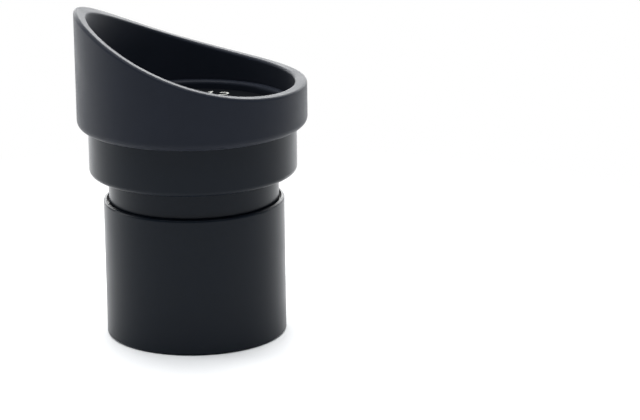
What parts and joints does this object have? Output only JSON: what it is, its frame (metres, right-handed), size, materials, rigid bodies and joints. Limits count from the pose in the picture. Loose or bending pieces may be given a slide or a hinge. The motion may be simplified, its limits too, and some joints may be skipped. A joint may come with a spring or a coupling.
{
  "type": "widefield eyepiece",
  "caption": "Black push-fit eyepiece with a plain barrel, a wider head, an inner lens group and a turning winged rubber eyecup.",
  "frame": {"origin": "centre of the barrel's open end, on which the eyepiece stands", "axes": "+Z along the optical axis towards the eye, -X towards the eyecup's wing"},
  "size_m": [0.038, 0.038, 0.0548],
  "materials": {
    "barrel_black": "satin black anodised",
    "head_black": "satin black anodised",
    "cap_black": "satin black anodised",
    "ring_black": "satin black anodised",
    "inner_black": "matte black anodised",
    "lens_glass": "coated, clear",
    "mark_paint": "off-white paint",
    "eyecup_rubber": "matte black rubber"
  },
  "bodies": {
    "eyepiece": {"barrel": "barrel_black", "head_body": "head_black", "face_cap": "cap_black", "eye_ring": "ring_black", "eye_lens": "lens_glass", "upper_spacer": "inner_black", "crown_lens": "lens_glass", "flint_lens": "lens_glass", "lower_spacer": "inner_black", "field_lens": "lens_glass", "cell_lock_ring": "inner_black", "lens_cell": "inner_black", "field_stop": "inner_black", "stop_lock_ring": "inner_black", "magnification_mark": "mark_paint"},
    "eyecup_body": {"eyecup": "eyecup_rubber"}
  },
  "joints": [
    {"name": "cup_turn", "type": "hinge", "parent": "eyepiece", "child": "eyecup_body", "pos_m": [0, 0, 0.0359], "axis": [0, 0, 1], "continuous": true}
  ]
}
